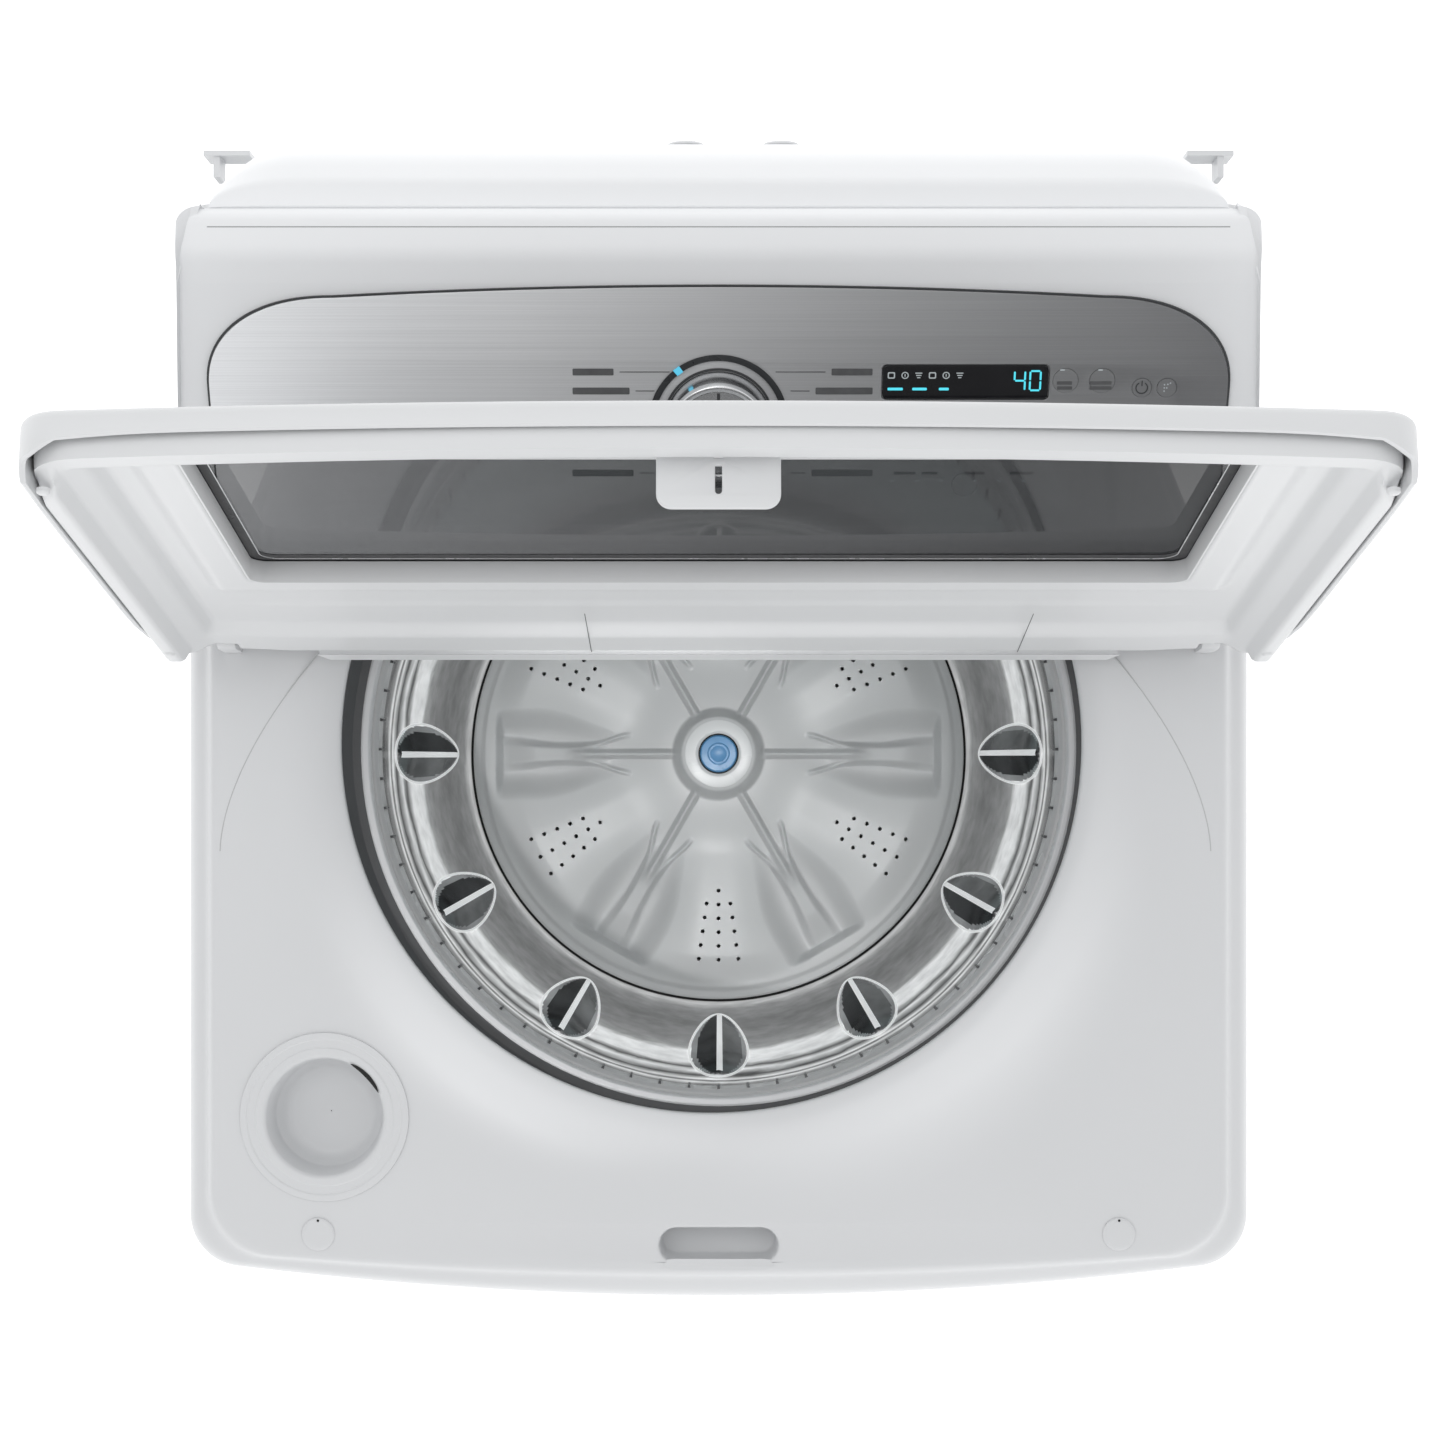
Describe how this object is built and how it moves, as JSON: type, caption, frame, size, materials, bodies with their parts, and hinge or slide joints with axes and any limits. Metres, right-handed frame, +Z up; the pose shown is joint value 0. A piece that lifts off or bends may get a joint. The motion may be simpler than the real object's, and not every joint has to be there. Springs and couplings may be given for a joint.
{
  "type": "top load washing machine",
  "caption": "Free-standing white top load washing machine with a hinged glass lid, sloping brushed control console, round steel basket and low pulsator, on levelling feet.",
  "frame": {"origin": "on the floor, below the middle of the whole object's bounding box", "axes": "+Z up, +X to the right as seen from the front, +Y to the rear, where the console and the water inlets are"},
  "size_m": [0.686, 0.743, 1.4341],
  "materials": {
    "white_paint": "smooth white gloss enamel",
    "white_plastic": "satin white moulding",
    "galvanised_steel": "zinc-coated steel, dull grey",
    "polished_steel": "polished stainless steel",
    "brushed_fascia": "fine horizontal brushing",
    "grey_plastic": "satin light grey moulding",
    "tub_plastic": "matt off-white moulding",
    "black_plastic": "satin black moulding",
    "black_glass": "glossy black window",
    "tinted_glass": "grey tinted tempered glass, black printed border",
    "black_rubber": "matt black",
    "blue_plastic": "satin light blue",
    "cast_aluminium": "as cast",
    "motor_winding": "copper-coloured enamel on the windings",
    "chrome": "satin silver with a bright rim",
    "circuit_board": "green solder mask"
  },
  "bodies": {
    "cabinet": {"cabinet_shell": "white_paint", "rear_panel": "galvanised_steel", "base_frame": "grey_plastic", "top_cover": "white_plastic", "bleach_cup": "white_plastic", "lid_bumper_left": "white_plastic", "lid_bumper_right": "white_plastic", "lid_lock_housing": "black_plastic", "console_housing": "white_plastic", "console_fascia": "brushed_fascia", "display_lens": "black_glass", "knob_ring": "black_plastic", "console_rear_cover": "white_plastic", "inlet_valve_hot": "white_plastic", "inlet_valve_cold": "white_plastic", "hose_clip_left": "white_plastic", "hose_clip_right": "white_plastic", "control_board": "circuit_board", "hinge_bracket_left": "white_plastic", "hinge_bracket_right": "white_plastic", "drain_outlet": "grey_plastic", "cord_inlet": "black_plastic", "suspension_rod_fl": "galvanised_steel", "suspension_rod_fr": "galvanised_steel", "suspension_rod_rl": "galvanised_steel", "suspension_rod_rr": "galvanised_steel", "drain_pump": "grey_plastic"},
    "tub": {"outer_tub": "tub_plastic", "tub_ring": "white_plastic", "gearcase": "cast_aluminium", "motor_stator": "motor_winding", "suspension_spring_fl": "galvanised_steel", "suspension_spring_fr": "galvanised_steel", "suspension_spring_rl": "galvanised_steel", "suspension_spring_rr": "galvanised_steel"},
    "basket": {"basket": "polished_steel", "balance_ring": "grey_plastic", "basket_hub": "cast_aluminium"},
    "drive": {"pulsator": "grey_plastic", "pulsator_cap": "blue_plastic", "drive_shaft": "galvanised_steel", "motor_rotor": "galvanised_steel"},
    "lid": {"lid_shell": "white_plastic", "lid_liner": "white_plastic", "lid_glass": "tinted_glass", "lid_striker": "white_plastic", "lid_hinge_pin_left": "galvanised_steel", "lid_hinge_pin_right": "galvanised_steel"},
    "selector": {"selector_knob": "chrome"},
    "lock": {"lock_bolt": "galvanised_steel"},
    "power_button": {"power_button": "grey_plastic"},
    "start_button": {"start_button": "grey_plastic"},
    "option_button_1": {"option_button_1": "grey_plastic"},
    "option_button_2": {"option_button_2": "grey_plastic"},
    "option_button_3": {"option_button_3": "grey_plastic"},
    "foot_fl": {"levelling_foot_fl": "black_rubber"},
    "foot_fr": {"levelling_foot_fr": "black_rubber"},
    "foot_rl": {"levelling_foot_rl": "black_rubber"},
    "foot_rr": {"levelling_foot_rr": "black_rubber"}
  },
  "joints": [
    {"name": "tub_bounce", "type": "slide", "parent": "cabinet", "child": "tub", "axis": [0, 0, 1], "range_m": [-0.025, 0.012], "stiffness_N_per_m": 12000, "springref_m": 0.0254, "deforming": ["suspension_spring_fl", "suspension_spring_fr", "suspension_spring_rl", "suspension_spring_rr"]},
    {"name": "basket_spin", "type": "hinge", "parent": "tub", "child": "basket", "pos_m": [0, -0.0163, 0.46], "axis": [0, 0, 1], "continuous": true},
    {"name": "pulsator_spin", "type": "hinge", "parent": "tub", "child": "drive", "pos_m": [0, -0.0163, 0.46], "axis": [0, 0, 1], "continuous": true},
    {"name": "lid_hinge", "type": "hinge", "parent": "cabinet", "child": "lid", "pos_m": [0, 0.055, 1.02], "axis": [1, 0, 0], "range_deg": [0, 102]},
    {"name": "selector_turn", "type": "hinge", "parent": "cabinet", "child": "selector", "pos_m": [0, 0.17971, 1.09046], "axis": [0, -0.4415, 0.8973], "continuous": true},
    {"name": "lock_bolt_slide", "type": "slide", "parent": "cabinet", "child": "lock", "axis": [0, -1, 0], "range_m": [0, 0.014]},
    {"name": "power_press", "type": "slide", "parent": "cabinet", "child": "power_button", "axis": [0, 0.4415, -0.8973], "range_m": [0, 0.0012], "stiffness_N_per_m": 300, "springref_m": -0.001},
    {"name": "start_press", "type": "slide", "parent": "cabinet", "child": "start_button", "axis": [0, 0.4415, -0.8973], "range_m": [0, 0.0012], "stiffness_N_per_m": 300, "springref_m": -0.001},
    {"name": "option_press_1", "type": "slide", "parent": "cabinet", "child": "option_button_1", "axis": [0, 0.4415, -0.8973], "range_m": [0, 0.0012], "stiffness_N_per_m": 300, "springref_m": -0.001},
    {"name": "option_press_2", "type": "slide", "parent": "cabinet", "child": "option_button_2", "axis": [0, 0.4415, -0.8973], "range_m": [0, 0.0012], "stiffness_N_per_m": 300, "springref_m": -0.001},
    {"name": "option_press_3", "type": "slide", "parent": "cabinet", "child": "option_button_3", "axis": [0, 0.4415, -0.8973], "range_m": [0, 0.0012], "stiffness_N_per_m": 300, "springref_m": -0.001},
    {"name": "foot_turn_fl", "type": "hinge", "parent": "cabinet", "child": "foot_fl", "pos_m": [-0.29, -0.29, 0.02], "axis": [0, 0, 1], "continuous": true},
    {"name": "foot_turn_fr", "type": "hinge", "parent": "cabinet", "child": "foot_fr", "pos_m": [0.29, -0.29, 0.02], "axis": [0, 0, 1], "continuous": true},
    {"name": "foot_turn_rl", "type": "hinge", "parent": "cabinet", "child": "foot_rl", "pos_m": [-0.29, 0.27, 0.02], "axis": [0, 0, 1], "continuous": true},
    {"name": "foot_turn_rr", "type": "hinge", "parent": "cabinet", "child": "foot_rr", "pos_m": [0.29, 0.27, 0.02], "axis": [0, 0, 1], "continuous": true}
  ]
}
